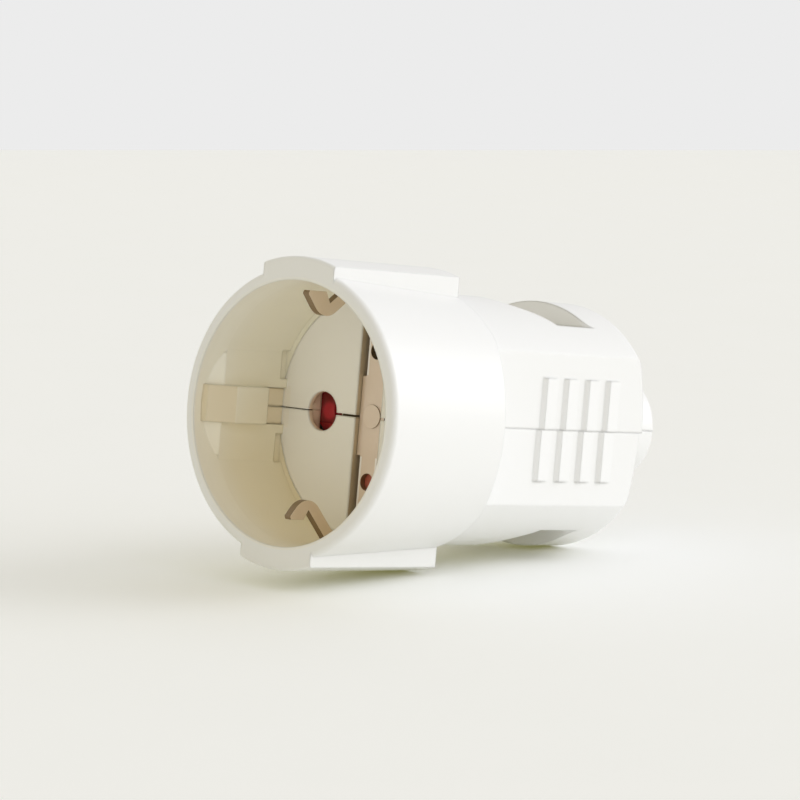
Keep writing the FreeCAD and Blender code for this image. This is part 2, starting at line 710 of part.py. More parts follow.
def make_upper_shell():
    body = make_shell("upper", "", "0")
    for hand, sign in HANDS:
        place = ("housing_screw_position", sign + "housing_screw_spacing / 2")
        rod(body, "Pad", "XY_Plane", "upper_boss_" + hand, place, "housing_boss_radius", "0",
            "hollow_roof + weld_overlap")
        rod(body, "Pocket", "XY_Plane", "upper_boss_hole_" + hand, place, "housing_screw_radius + screw_fit",
            "-cut_overrun", "housing_screw_length - housing_screw_seat + cut_overrun")
    rod(body, "Pocket", "YZ_Plane", "upper_strip_window", ("0", "strip_hole_position"), "strip_window_radius",
        "cavity_depth - cut_overrun", "floor_back")
    half_width = "(strip_arm_width / 2 + tail_slot_clearance)"
    box(body, "Pocket", "upper_tail_slot",
        ("tail_drop_position - strip_thickness - tail_slot_clearance", "-" + half_width, "tail_seat_base"),
        ("tail_drop_position + tail_slot_clearance", half_width, "spigot_radius + cut_overrun"))
    return body


def cut_parting_gaps(body):
    """Open stretches of the parting line in the cavity floor: narrow outside the pin holes, wider inside."""
    for hand, sign in HANDS:
        hole_outer = "%s(pin_spacing / 2 + pin_hole_radius - weld_overlap)" % sign
        hole_inner = "%s(pin_spacing / 2 - pin_hole_radius + weld_overlap)" % sign
        back = "cavity_depth + floor_gap_depth"
        box(body, "Pocket", "lower_gap_" + hand, ("key_front - cut_overrun", hole_outer, "-floor_gap"),
            (back, "%s(spigot_radius + cut_overrun)" % sign, "cut_overrun"))
        box(body, "Pocket", "lower_gap_wide_" + hand, ("cavity_depth - cut_overrun", "0", "-floor_gap_wide"),
            (back, hole_inner, "cut_overrun"))


def cut_peg_slot(body):
    """Slot behind the earth strip in which the shutter's peg travels."""
    half_width = "(shutter_peg_half_width + shutter_peg_clearance)"
    half_height = "(shutter_peg_half_height + shutter_peg_clearance)"
    box(body, "Pocket", "lower_peg_slot",
        ("cavity_depth - cut_overrun", "-" + half_width, "-(strip_hole_position + %s)" % half_height),
        ("floor_back", half_width, "-(strip_hole_position - shutter_travel - %s)" % half_height))


def make_lower_shell():
    body = make_shell("lower", "-", "shell_stagger")
    cut_parting_gaps(body)
    cut_peg_slot(body)
    base = "-(hollow_roof + weld_overlap)"
    outside = "-waist_height - cut_overrun"
    for hand, sign in HANDS:
        place = ("housing_screw_position", sign + "housing_screw_spacing / 2")
        rod(body, "Pad", "XY_Plane", "lower_boss_" + hand, place, "housing_boss_radius", base, "0")
        rod(body, "Pocket", "XY_Plane", "lower_boss_hole_" + hand, place, "housing_hole_radius",
            outside, "cut_overrun")
        rod(body, "Pocket", "XY_Plane", "lower_counterbore_" + hand, place, "housing_counterbore_radius",
            outside, "-housing_screw_seat")
        place = ("clamp_position", sign + "clamp_screw_spacing / 2")
        rod(body, "Pad", "XY_Plane", "lower_post_" + hand, place, "clamp_post_radius", base, "clamp_base")
        rod(body, "Pocket", "XY_Plane", "lower_post_hole_" + hand, place, "clamp_screw_radius + screw_fit",
            "clamp_top - clamp_screw_length - cut_overrun", "clamp_base + cut_overrun")
        pin = sign + "pin_spacing / 2"
        box(body, "Pad", "lower_block_seat_" + hand,
            ("block_position + block_seat_inset", pin + " - block_seat_width / 2", base),
            ("block_position + block_length - block_seat_inset", pin + " + block_seat_width / 2",
             "-block_height / 2"))
    box(body, "Pad", "lower_saddle", ("clamp_front", "-saddle_half_width", base),
        ("clamp_back", "saddle_half_width", "-saddle_top"))
    rod(body, "Pocket", "YZ_Plane", "lower_saddle_groove", ("0", "0"), "clamp_saddle_radius",
        "clamp_front", "clamp_back")
    add_shutter_guide(body)
    return body


def add_shutter_guide(body):
    """U-shaped rest and guide for the shutter's foot inside the chamber."""
    sketch, length = span(body, "YZ_Plane", "lower_shutter_guide", "floor_back", "partition_front")
    inner = "(shutter_foot_half_width + shutter_gap)"
    outer = "(shutter_foot_half_width + shutter_gap + shutter_guide_wall)"
    right = [(inner, "-shutter_foot_end"), (inner, "-shutter_guide_top"), (outer, "-shutter_guide_top")]
    right += [(outer, "-(chamber_radius + weld_overlap)")]
    add_polygon(sketch, [("-" + y, z) for y, z in reversed(right)] + right)
    extrude(body, "Pad", sketch, length)


def make_shutter():
    body = new_body("shutter")
    sketch, length = span(body, "YZ_Plane", "shutter_outline", "shutter_front", "shutter_back")
    foot, inner, outer = "shutter_foot_half_width", "shutter_pad_inner", "shutter_pad_outer"
    right = [(foot, "-shutter_foot_end"), (foot, "-shutter_bridge_bottom"), (inner, "-shutter_bridge_bottom")]
    right += [(inner, "-shutter_pad_bottom"), (outer, "-shutter_pad_bottom"), (outer, "shutter_pad_top")]
    right += [(inner, "shutter_pad_top"), (inner, "shutter_bridge_top")]
    add_polygon(sketch, right + [("-" + y, z) for y, z in reversed(right)])
    extrude(body, "Pad", sketch, length)
    box(body, "Pad", "shutter_peg",
        ("shutter_peg_front", "-shutter_peg_half_width", "-(strip_hole_position + shutter_peg_half_height)"),
        ("shutter_middle", "shutter_peg_half_width", "-(strip_hole_position - shutter_peg_half_height)"))
    for hand, sign in HANDS:
        opposite = "" if sign else "-"
        sketch = new_sketch(body, "XZ_Plane", "shutter_ramp_" + hand, opposite + "pin_spacing / 2")
        add_polygon(sketch, [("shutter_front", "-shutter_ramp_top"), ("shutter_front", "-shutter_pad_bottom"),
                             ("shutter_front + shutter_ramp_depth", "-shutter_pad_bottom")])
        extrude(body, "Pocket", sketch, "shutter_pad_outer - shutter_pad_inner + cut_overrun")
        dish = sign + "(pin_spacing / 2 - shutter_dish_offset)"
        rod(body, "Pocket", "YZ_Plane", "shutter_dish_" + hand, (dish, "shutter_dish_height"),
            "shutter_dish_radius", "shutter_front - cut_overrun", "shutter_front + shutter_dish_depth")
    rod(body, "Pocket", "XY_Plane", "shutter_spring_seat", ("shutter_middle", "0"),
        "spring_coil_radius + spring_wire_radius + spring_seat_gap",
        "shutter_bridge_top - 2 * spring_wire_radius", "shutter_bridge_top + cut_overrun")
    return body


def make_spring():
    """Compression spring between the shutter's bridge and the chamber roof."""
    body = new_body("shutter_spring")
    sketch = new_sketch(body, "XZ_Plane", "spring_wire")
    bind(sketch, "AttachmentOffset.Base.x", "shutter_middle")
    low = "shutter_bridge_top - spring_wire_radius"
    high = "chamber_radius - spring_wire_radius - spring_end_gap"
    add_circle(sketch, ("spring_coil_radius", low), "spring_wire_radius")
    coil = body.newObject("PartDesign::AdditiveHelix", "spring_coil")
    coil.Profile = sketch
    coil.ReferenceAxis = (sketch, ["V_Axis"])
    coil.Mode = "height-turns-angle"
    bind(coil, "Height", "(%s) - (%s)" % (high, low))
    bind(coil, "Turns", "spring_turns")
    return body


def add_hook(body, word, side):
    """Earth hook: a plate on edge with a round nose, a throat behind its tip, and a leg up to the arm."""
    nose_at, tip_at, run = word + "_hook_nose_position", "hook_tip_position", word + "_hook_leg_run"
    nose, tip = "cavity_radius - %s_hook_reach" % word, "cavity_radius - %s_hook_tip_gap" % word
    throat = nose + " + hook_throat"
    arm = "(arm_height + arm_inner_height) / 2"
    leg_across = "hook_leg_width * sqrt(1 + %s ^ 2)" % run
    throat_at = "%s + hook_throat * %s - %s" % (nose_at, run, leg_across)
    leg_at = "%s + (%s - (%s)) * %s" % (nose_at, arm, nose, run)
    outline = [(nose_at, nose), (tip_at, tip), (tip_at + " + hook_lip / 2", tip + " + hook_lip")]
    outline += [(throat_at + " - hook_heel", tip + " + hook_lip"), (throat_at, throat)]
    outline += [("%s - %s" % (leg_at, leg_across), arm), (leg_at, arm)]
    sketch, length = span(body, "XZ_Plane", word + "_hook", "-hook_thickness / 2", "hook_thickness / 2")
    add_polygon(sketch, [(x, "%s(%s)" % (side, z)) for x, z in outline])
    hook = extrude(body, "Pad", sketch, length)
    up = -1 if side == "-" else 1
    nose_height = up * (size("cavity_radius") - size(word + "_hook_reach"))
    tip_height = up * (size("cavity_radius") - size(word + "_hook_tip_gap"))
    nose_place = (size(nose_at), nose_height)
    tip_place = (size(tip_at), tip_height)
    rounded = round_edges(body, hook, word + "_nose_round", "hook_nose_round",
                          lambda edge: is_cross_edge(edge, [nose_place]))
    round_edges(body, rounded, word + "_tip_round", "hook_tip_round",
                lambda edge: is_cross_edge(edge, [tip_place]))


def make_bracket():
    """U-shaped earth strip with a hook at each end and a tail to the earth terminal."""
    body = new_body("earth_bracket")
    half_width = "strip_arm_width / 2"
    sketch, length = span(body, "XZ_Plane", "bracket_section", "-" + half_width, half_width)
    arm = [("strip_back", "arm_height"), ("arm_front", "arm_height")]
    arm += [("arm_front", "arm_inner_height"), ("strip_front", "arm_inner_height")]
    add_polygon(sketch, arm + [(x, "-" + z) for x, z in reversed(arm)])
    extrude(body, "Pad", sketch, length)
    add_hook(body, "top", "")
    add_hook(body, "bottom", "-")
    box(body, "Pad", "bracket_middle",
        ("strip_front", "-strip_middle_width / 2", "-strip_middle_half_length"),
        ("strip_back", "strip_middle_width / 2", "strip_middle_half_length"))
    drop_front = "tail_drop_position - strip_thickness"
    box(body, "Pad", "bracket_tail_top", ("strip_front", "-" + half_width, "tail_height - strip_thickness"),
        ("tail_drop_position", half_width, "tail_height"))
    box(body, "Pad", "bracket_tail_drop", (drop_front, "-" + half_width, "tail_seat_base"),
        ("tail_drop_position", half_width, "tail_height"))
    box(body, "Pad", "bracket_tail_seat", (drop_front, "-" + half_width, "tail_seat_base"),
        ("tail_length", half_width, "tail_seat_height"))
    rod(body, "Pad", "YZ_Plane", "bracket_boss", ("0", "0"), "strip_boss_radius",
        "strip_front - strip_boss_height", "strip_back")
    for word, sign in (("top", ""), ("bottom", "-")):
        rod(body, "Pocket", "YZ_Plane", "bracket_hole_" + word, ("0", sign + "strip_hole_position"),
            "strip_hole_radius", "strip_front - cut_overrun", "strip_back + cut_overrun")
    return body


def make_contact(hand, pin):
    """Round pin contact with a slit and a tail that goes into the terminal block."""
    body = new_body("pin_contact_" + hand)
    front = "partition_back - cut_overrun"
    rod(body, "Pad", "YZ_Plane", hand + "_contact_tube", (pin, "0"), "contact_radius",
        "partition_back", "contact_end")
    rod(body, "Pad", "YZ_Plane", hand + "_contact_tail", (pin, "0"), "contact_tail_radius",
        "contact_end - weld_overlap", "block_position + contact_tail_length")
    rod(body, "Pocket", "YZ_Plane", hand + "_contact_bore", (pin, "0"), "contact_bore_radius", front,
        "contact_end - contact_end_wall")
    box(body, "Pocket", hand + "_contact_slit",
        (front, pin + " - contact_radius - cut_overrun", "-contact_slit / 2"),
        ("partition_back + contact_slit_length", pin + " + contact_radius + cut_overrun", "contact_slit / 2"))
    return body


def make_ring(hand, pin):
    """Steel ring that presses the slit contact together."""
    body = new_body("contact_ring_" + hand)
    inner, end = "contact_radius + ring_fit", "ring_position + ring_width"
    rod(body, "Pad", "YZ_Plane", hand + "_ring_blank", (pin, "0"), inner + " + ring_thickness",
        "ring_position", end)
    rod(body, "Pocket", "YZ_Plane", hand + "_ring_bore", (pin, "0"), inner, "ring_position - cut_overrun",
        end + " + cut_overrun")
    return body


def make_block(hand, pin):
    """Line terminal block with a hole for the contact's tail and the wire, and a screw hole."""
    body = new_body("line_terminal_" + hand)
    end = "block_position + block_length"
    box(body, "Pad", hand + "_block", ("block_position", pin + " - block_width / 2", "-block_height / 2"),
        (end, pin + " + block_width / 2", "block_height / 2"))
    rod(body, "Pocket", "YZ_Plane", hand + "_block_wire", (pin, "0"), "block_wire_radius",
        "block_position - cut_overrun", end + " + cut_overrun")
    rod(body, "Pocket", "XY_Plane", hand + "_block_screw_hole", ("line_screw_position", pin),
        "terminal_screw_radius + screw_fit", "0", "block_height / 2 + cut_overrun")
    return body


def make_screw(name, place, seat, upright, kind, length):
    """Slotted screw along Z: the head stands on its seat, the shank runs the other way."""
    body = new_body(name)
    head_height, head_radius = kind + "_screw_head_height", kind + "_screw_head_radius"
    up, down = ("+", "-") if upright else ("-", "+")
    crown = "%s %s %s" % (seat, up, head_height)
    levels = [(seat, crown), ("%s %s %s" % (seat, down, length), seat)]
    levels += [("%s %s screw_slot_depth" % (crown, down), "%s %s cut_overrun" % (crown, up))]
    head, shank, slot = [level if upright else level[::-1] for level in levels]
    rod(body, "Pad", "XY_Plane", name + "_head", place, head_radius, *head)
    rod(body, "Pad", "XY_Plane", name + "_shank", place, kind + "_screw_radius", *shank)
    reach = head_radius + " + cut_overrun"
    box(body, "Pocket", name + "_slot",
        ("%s - (%s)" % (place[0], reach), place[1] + " - screw_slot_width / 2", slot[0]),
        ("%s + %s" % (place[0], reach), place[1] + " + screw_slot_width / 2", slot[1]))
    return body


def make_earth_terminal():
    """Earth terminal block under the bracket's tail."""
    body = new_body("earth_terminal")
    end, middle = "earth_block_position + earth_block_length", "(earth_block_base + tail_seat_base) / 2"
    box(body, "Pad", "earth_block", ("earth_block_position", "-earth_block_width / 2", "earth_block_base"),
        (end, "earth_block_width / 2", "tail_seat_base"))
    rod(body, "Pocket", "YZ_Plane", "earth_block_wire", ("0", middle), "block_wire_radius",
        "earth_block_position - cut_overrun", end + " + cut_overrun")
    rod(body, "Pocket", "XY_Plane", "earth_block_screw_hole", ("earth_screw_position", "0"),
        "terminal_screw_radius + screw_fit", "earth_block_base - cut_overrun", middle)
    return body


def make_clamp():
    """Cord clamp bar with a round saddle underneath and two screw holes."""
    body = new_body("cord_clamp")
    box(body, "Pad", "clamp_bar", ("clamp_front", "-clamp_width / 2", "clamp_base"),
        ("clamp_back", "clamp_width / 2", "clamp_top"))
    rod(body, "Pocket", "YZ_Plane", "clamp_saddle", ("0", "0"), "clamp_saddle_radius",
        "clamp_front - cut_overrun", "clamp_back + cut_overrun")
    for hand, sign in HANDS:
        place = ("clamp_position", sign + "clamp_screw_spacing / 2")
        rod(body, "Pocket", "XY_Plane", "clamp_hole_" + hand, place, "clamp_screw_radius + screw_fit",
            "clamp_base - cut_overrun", "clamp_top + cut_overrun")
    return body


def make_line_parts(hand, sign):
    """Contact, ring, terminal and screws of one side."""
    pin = sign + "pin_spacing / 2"
    clamp_place = ("clamp_position", sign + "clamp_screw_spacing / 2")
    housing_place = ("housing_screw_position", sign + "housing_screw_spacing / 2")
    return [
        make_contact(hand, pin),
        make_ring(hand, pin),
        make_block(hand, pin),
        make_screw("line_screw_" + hand, ("line_screw_position", pin), "block_height / 2", True, "terminal",
                   "terminal_screw_length"),
        make_screw("clamp_screw_" + hand, clamp_place, "clamp_top", True, "clamp", "clamp_screw_length"),
        make_screw("housing_screw_" + hand, housing_place, "-housing_screw_seat", False, "housing",
                   "housing_screw_length"),
    ]


def make_parts():
    parts = [make_sleeve(), make_upper_shell(), make_lower_shell()]
    parts += [make_shutter(), make_spring(), make_bracket()]
    for hand, sign in HANDS:
        parts += make_line_parts(hand, sign)
    parts += [make_earth_terminal(), make_clamp()]
    parts.append(make_screw("earth_screw", ("earth_screw_position", "0"), "earth_block_base", False,
                            "terminal", "terminal_screw_length"))
    return parts


parts = make_parts()
doc.recompute()
for thing in doc.Objects:
    if "Invalid" in thing.State or "Error" in thing.State:
        raise RuntimeError("%s did not build: %s" % (thing.Name, thing.State))
os.makedirs("parts", exist_ok=True)
for part in parts:
    if part.Shape.isNull() or not part.Shape.isValid() or len(part.Shape.Solids) != 1:
        raise RuntimeError("%s is not one good solid" % part.Label)
    part.Shape.exportStep("parts/%s.step" % part.Label)
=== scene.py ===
import json
import math

import bpy
from mathutils import Matrix, Vector


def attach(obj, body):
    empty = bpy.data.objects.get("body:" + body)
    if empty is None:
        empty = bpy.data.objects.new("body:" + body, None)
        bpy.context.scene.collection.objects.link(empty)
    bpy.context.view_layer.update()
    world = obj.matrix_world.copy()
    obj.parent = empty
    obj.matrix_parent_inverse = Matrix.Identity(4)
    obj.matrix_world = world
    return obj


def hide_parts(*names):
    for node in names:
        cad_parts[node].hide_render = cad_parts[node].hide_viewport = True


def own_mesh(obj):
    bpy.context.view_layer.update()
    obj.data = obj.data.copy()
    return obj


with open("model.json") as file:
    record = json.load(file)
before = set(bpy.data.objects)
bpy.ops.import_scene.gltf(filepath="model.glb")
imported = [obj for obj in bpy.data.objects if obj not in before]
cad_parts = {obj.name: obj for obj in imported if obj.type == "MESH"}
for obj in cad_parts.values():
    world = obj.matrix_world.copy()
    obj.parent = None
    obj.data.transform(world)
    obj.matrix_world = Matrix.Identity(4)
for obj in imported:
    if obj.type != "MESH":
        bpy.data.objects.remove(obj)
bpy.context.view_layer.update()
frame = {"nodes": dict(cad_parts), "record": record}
MM = 0.001


def rgb(red, green, blue):
    """A colour given as it shows on screen, from 0 to 255."""
    def linear(level):
        level /= 255.0
        return level / 12.92 if level <= 0.04045 else ((level + 0.055) / 1.055) ** 2.4
    return linear(red), linear(green), linear(blue), 1.0


# Sockets of the mix node when it mixes colours.
MIX_SHARE, MIX_FIRST, MIX_SECOND = 0, 6, 7
MIX_RESULT = 2


class Nodes:
    """A node tree under construction, with short calls for its nodes."""

    def __init__(self, tree):
        self.nodes = tree.nodes
        self.links = tree.links

    def put(self, socket, value):
        """Links the socket to another node's output, or sets it to a constant."""
        if hasattr(value, "is_output"):
            self.links.new(value, socket)
        else:
            socket.default_value = value

    def math(self, operation, *values):
        node = self.nodes.new("ShaderNodeMath")
        node.operation = operation
        for socket, value in zip(node.inputs, values):
            self.put(socket, value)
        return node.outputs[0]

    def smooth(self, value, low, high, start=0.0, end=1.0):
        """A soft step from the start level to the end level as the value goes from low to high."""
        node = self.nodes.new("ShaderNodeMapRange")
        node.interpolation_type = "SMOOTHSTEP"
        for socket, number in zip(node.inputs, (value, low, high, start, end)):
            self.put(socket, number)
        return node.outputs[0]

    def below(self, value, low, high):
        """1 where the value is under low, falling softly to 0 at high."""
        return self.smooth(value, low, high, 1.0, 0.0)

    def mix(self, share, first, second):
        node = self.nodes.new("ShaderNodeMix")
        node.data_type = "RGBA"
        self.put(node.inputs[MIX_SHARE], share)
        self.put(node.inputs[MIX_FIRST], first)
        self.put(node.inputs[MIX_SECOND], second)
        return node.outputs[MIX_RESULT]


# Regions of a material are bounded by distances from the part's middle planes, in mm.
MIDDLE, FAR = -1, 100
EVERYWHERE = (MIDDLE, FAR)
REGION_BLUR_OUT = 0.05
REGION_BLUR_IN = 0.15
BEVEL_SAMPLES = 4


class Shader(Nodes):
    """A Principled material with procedural colour, roughness and bump in the part's own coordinates."""

    def __init__(self, name, **constants):
        self.material = bpy.data.materials.new(name)
        self.material.use_nodes = True
        super().__init__(self.material.node_tree)
        self.surface = self.nodes["Principled BSDF"]
        for socket, value in constants.items():
            self.surface.inputs[socket.replace("_", " ")].default_value = value
        self.place = self.nodes.new("ShaderNodeTexCoord").outputs["Object"]

    def part_of_place(self, axis):
        node = self.nodes.new("ShaderNodeSeparateXYZ")
        self.put(node.inputs[0], self.place)
        return node.outputs[axis]

    def distance(self, first, second):
        """Length of the diagonal over two lengths."""
        squares = [self.math("POWER", length, 2.0) for length in (first, second)]
        return self.math("SQRT", self.math("ADD", *squares))

    def noise(self, waves, detail, stretch=(1.0, 1.0, 1.0)):
        """Noise with the given number of waves a metre."""
        mapping = self.nodes.new("ShaderNodeMapping")
        self.put(mapping.inputs["Vector"], self.place)
        mapping.inputs["Scale"].default_value = stretch
        node = self.nodes.new("ShaderNodeTexNoise")
        self.put(node.inputs["Vector"], mapping.outputs[0])
        node.inputs["Scale"].default_value = waves
        node.inputs["Detail"].default_value = detail
        return node.outputs["Fac"]

    def facing(self, axis):
        """How squarely the surface faces along one of the part's axes, either way."""
        node = self.nodes.new("ShaderNodeSeparateXYZ")
        self.put(node.inputs[0], self.nodes.new("ShaderNodeTexCoord").outputs["Normal"])
        return self.math("ABSOLUTE", node.outputs[axis])

    def within(self, along=EVERYWHERE, across=EVERYWHERE, up=EVERYWHERE):
        """1 in a region between two bounds on each axis, with soft edges."""
        share = 1.0
        for axis, (start, end) in zip("XYZ", (along, across, up)):
            place = self.math("ABSOLUTE", self.part_of_place(axis))
            begun = self.smooth(place, (start - REGION_BLUR_OUT) * MM, (start + REGION_BLUR_IN) * MM)
            left = self.below(place, (end - REGION_BLUR_IN) * MM, (end + REGION_BLUR_OUT) * MM)
            share = self.math("MULTIPLY", share, self.math("MULTIPLY", begun, left))
        return share

    def colour(self, value):
        self.put(self.surface.inputs["Base Color"], value)

    def roughness(self, texture, least, spread):
        """Roughness that follows a texture from the least value up."""
        value = self.math("ADD", self.math("MULTIPLY", texture, spread), least)
        self.put(self.surface.inputs["Roughness"], value)

    def bump(self, height, strength, distance, edge_round=0.0):
        """Bump from a height, on edges that look rounded by the given radius."""
        node = self.nodes.new("ShaderNodeBump")
        if edge_round:
            bevel = self.nodes.new("ShaderNodeBevel")
            bevel.samples = BEVEL_SAMPLES
            bevel.inputs["Radius"].default_value = edge_round
            self.put(node.inputs["Normal"], bevel.outputs[0])
        node.inputs["Strength"].default_value = strength
        node.inputs["Distance"].default_value = distance
        self.put(node.inputs["Height"], height)
        self.put(self.surface.inputs["Normal"], node.outputs[0])


# White plastic: the plug cavity is coloured warmer than the outside, most of all low down and deep inside, as
# painted shade to match its look in the photograph.
WHITE = rgb(241, 241, 239)
WHITE_CLOUDS = rgb(214, 212, 200)
CLOUD_SHARE = 0.06
CAVITY_EDGE_BLUR = 0.1 * MM
CAVITY_HEIGHTS = (-14 * MM, 12 * MM)
MOUTH_EDGE = (-0.4 * MM, 0.6 * MM)
MOUTH_SHARE = 0.65
CAVITY_DEPTHS = (0.5 * MM, 9 * MM)


def moulded_white(name, inside, inner_radius, inner_end, edge_round, tints):
    """White plastic with a low and a high colour of painted shade inside a radius and ahead of an end, and
    regions tinted with painted shade.
    """
    shader = Shader(name, IOR=1.48)
    along, across, up = (shader.part_of_place(axis) for axis in "XYZ")
    middle_distance = shader.distance(across, up)
    within = shader.below(middle_distance, inner_radius - CAVITY_EDGE_BLUR, inner_radius + CAVITY_EDGE_BLUR)
    ahead = shader.below(along, inner_end - CAVITY_EDGE_BLUR, inner_end + CAVITY_EDGE_BLUR)
    mouth = shader.smooth(along, *MOUTH_EDGE, 0.0, MOUTH_SHARE)
    deeper = shader.smooth(along, *CAVITY_DEPTHS, 0.0, 1.0 - MOUTH_SHARE)
    cavity_shade_share = shader.math("MULTIPLY", shader.math("MULTIPLY", within, ahead), shader.math("ADD", mouth, deeper))
    base = shader.mix(cavity_shade_share, WHITE, shader.mix(shader.smooth(up, *CAVITY_HEIGHTS), *inside))
    for tint, region in tints:
        base = shader.mix(shader.math("MULTIPLY", within, shader.within(**region)), base, tint)
    clouds = shader.noise(waves=90, detail=3.0)
    shader.colour(shader.mix(shader.math("MULTIPLY", clouds, CLOUD_SHARE), base, WHITE_CLOUDS))
    shader.roughness(clouds, least=0.26, spread=0.12)
    grain = shader.noise(waves=2600, detail=2.0)
    shader.bump(grain, strength=0.05, distance=0.05 * MM, edge_round=edge_round)
    return shader.material


RED_DARK, RED_LIGHT = rgb(124, 26, 26), rgb(142, 33, 35)
# Painted highlight on a spot of each pad, and painted light on the ramp and the peg.
RED_PAINTED_HIGHLIGHT = rgb(194, 44, 56)
RED_RAMP_PAINTED_LIGHT = rgb(250, 86, 88)
RED_PEG_PAINTED_LIGHT = rgb(228, 130, 112)
SPOT_ACROSS = 10.8 * MM
SPOT_RADII = (0.9 * MM, 1.8 * MM)
RAMP_HEIGHTS = (-2.0 * MM, -1.8 * MM)
PEG_END = 20.2


def shutter_red(name):
    """Deep red plastic, with painted light on the peg and the ramp and a painted highlight on a spot of each
    pad, to match the photograph.
    """
    shader = Shader(name, IOR=1.5, Coat_Weight=0.25, Coat_Roughness=0.12)
    clouds = shader.noise(waves=260, detail=3.0)
    up = shader.part_of_place("Z")
    from_middle = shader.math("ABSOLUTE", shader.part_of_place("Y"))
    from_spot = shader.distance(shader.math("SUBTRACT", from_middle, SPOT_ACROSS), up)
    base = shader.mix(clouds, RED_DARK, RED_LIGHT)
    base = shader.mix(shader.below(from_spot, *SPOT_RADII), base, RED_PAINTED_HIGHLIGHT)
    base = shader.mix(shader.below(up, *RAMP_HEIGHTS), base, RED_RAMP_PAINTED_LIGHT)
    shader.colour(shader.mix(shader.within(along=(MIDDLE, PEG_END)), base, RED_PEG_PAINTED_LIGHT))
    shader.roughness(clouds, least=0.24, spread=0.16)
    shader.bump(shader.noise(waves=3000, detail=2.0), strength=0.06, distance=0.04 * MM)
    return shader.material


def rolled_metal(name, light, dark, stretch, least_roughness):
    """Metal with fine drawing lines and a little tarnish."""
    shader = Shader(name, Metallic=1.0)
    tarnish = shader.noise(waves=220, detail=4.0)
    lines = shader.noise(waves=900, detail=3.0, stretch=stretch)
    shader.colour(shader.mix(tarnish, light, dark))
    shader.roughness(lines, least=least_roughness, spread=0.2)
    shader.bump(lines, strength=0.12, distance=0.03 * MM)
    return shader.material


PLATED_LIGHT, PLATED_DARK = rgb(240, 223, 205), rgb(224, 205, 183)
# A painted glint along the strip's rims.
PLATED_PAINTED_GLINT = rgb(255, 250, 242)
# Painted shade on the sides of the strip and the edges of its hooks.
SIDE_PAINTED_SHADE = rgb(140, 118, 88)
HOOK_ENDS = (11.3 * MM, 11.7 * MM)
SHADED_SIDE_FACING = (0.5, 0.9)
PAINTED_GLINT_REGION = {"along": (17.0, FAR), "across": (1.35, 1.8), "up": (6.1, 17.0)}


def plated_strip(name):
    """Dull plated strip with painted shade on its sides and its hooks' edges, and a painted glint along its
    rims. Its hooks stand on edge.
    """
    shader = Shader(name, Metallic=0.45)
    hooks = shader.below(shader.part_of_place("X"), *HOOK_ENDS)
    face = shader.mix(hooks, shader.facing("X"), shader.facing("Y"))
    tarnish = shader.noise(waves=220, detail=4.0)
    lines = shader.noise(waves=900, detail=3.0, stretch=(1, 6, 1))
    rolled = shader.mix(tarnish, PLATED_LIGHT, PLATED_DARK)
    rolled = shader.mix(shader.within(**PAINTED_GLINT_REGION), rolled, PLATED_PAINTED_GLINT)
    shader.colour(shader.mix(shader.below(face, *SHADED_SIDE_FACING), rolled, SIDE_PAINTED_SHADE))
    shader.roughness(lines, least=0.3, spread=0.2)
    shader.bump(lines, strength=0.12, distance=0.03 * MM, edge_round=0.12 * MM)
    return shader.material


def moulded_plain(name, dark, light):
    """Matt plastic of one colour with faint clouds."""
    shader = Shader(name, IOR=1.47)
    clouds = shader.noise(waves=180, detail=4.0)
    shader.colour(shader.mix(clouds, dark, light))
    shader.roughness(clouds, least=0.45, spread=0.15)
    shader.bump(shader.noise(waves=2200, detail=3.0), strength=0.2, distance=0.05 * MM)
    return shader.material


# The sleeve's wall is tinted on the ramps of its guide ribs, and the shells beside the keys, below the
# cavity's floor, in the slot of the earth strip and in the slit on both sides of the pin holes. The tints
# match shade that the photograph shows there.
BELOW_FLOOR = (17.6, 20.3)
SLIT_HEIGHT = (MIDDLE, 0.45)
# Painted shade in the slit on both sides of the pin holes.
SLIT_PAINTED_SHADE = rgb(140, 122, 96)
SLEEVE_PAINTED_SHADE = [
    (rgb(232, 219, 190), {"along": (1.4, 5.5), "across": (15.5, 20), "up": (MIDDLE, 2.85)}),
]
SHELL_PAINTED_SHADE = [
    (rgb(246, 233, 206), {"along": (13.8, 17.4), "across": (16.5, 20), "up": (MIDDLE, 3.2)}),
    (rgb(255, 238, 212), {"along": BELOW_FLOOR}),
    (rgb(134, 112, 76), {"along": (17.5, 20.3), "across": (MIDDLE, 2.65)}),
    (SLIT_PAINTED_SHADE, {"along": BELOW_FLOOR, "across": (12.7, 20), "up": SLIT_HEIGHT}),
    (SLIT_PAINTED_SHADE, {"along": BELOW_FLOOR, "across": (2.6, 6.3), "up": SLIT_HEIGHT}),
]
# Painted shade in the cavity: low and high colours of the sleeve's wall and of the shells' floor.
CAVITY_WALL_PAINTED_SHADE = rgb(249, 238, 208), rgb(253, 249, 232)
CAVITY_FLOOR_PAINTED_SHADE = rgb(253, 251, 246), rgb(253, 251, 246)

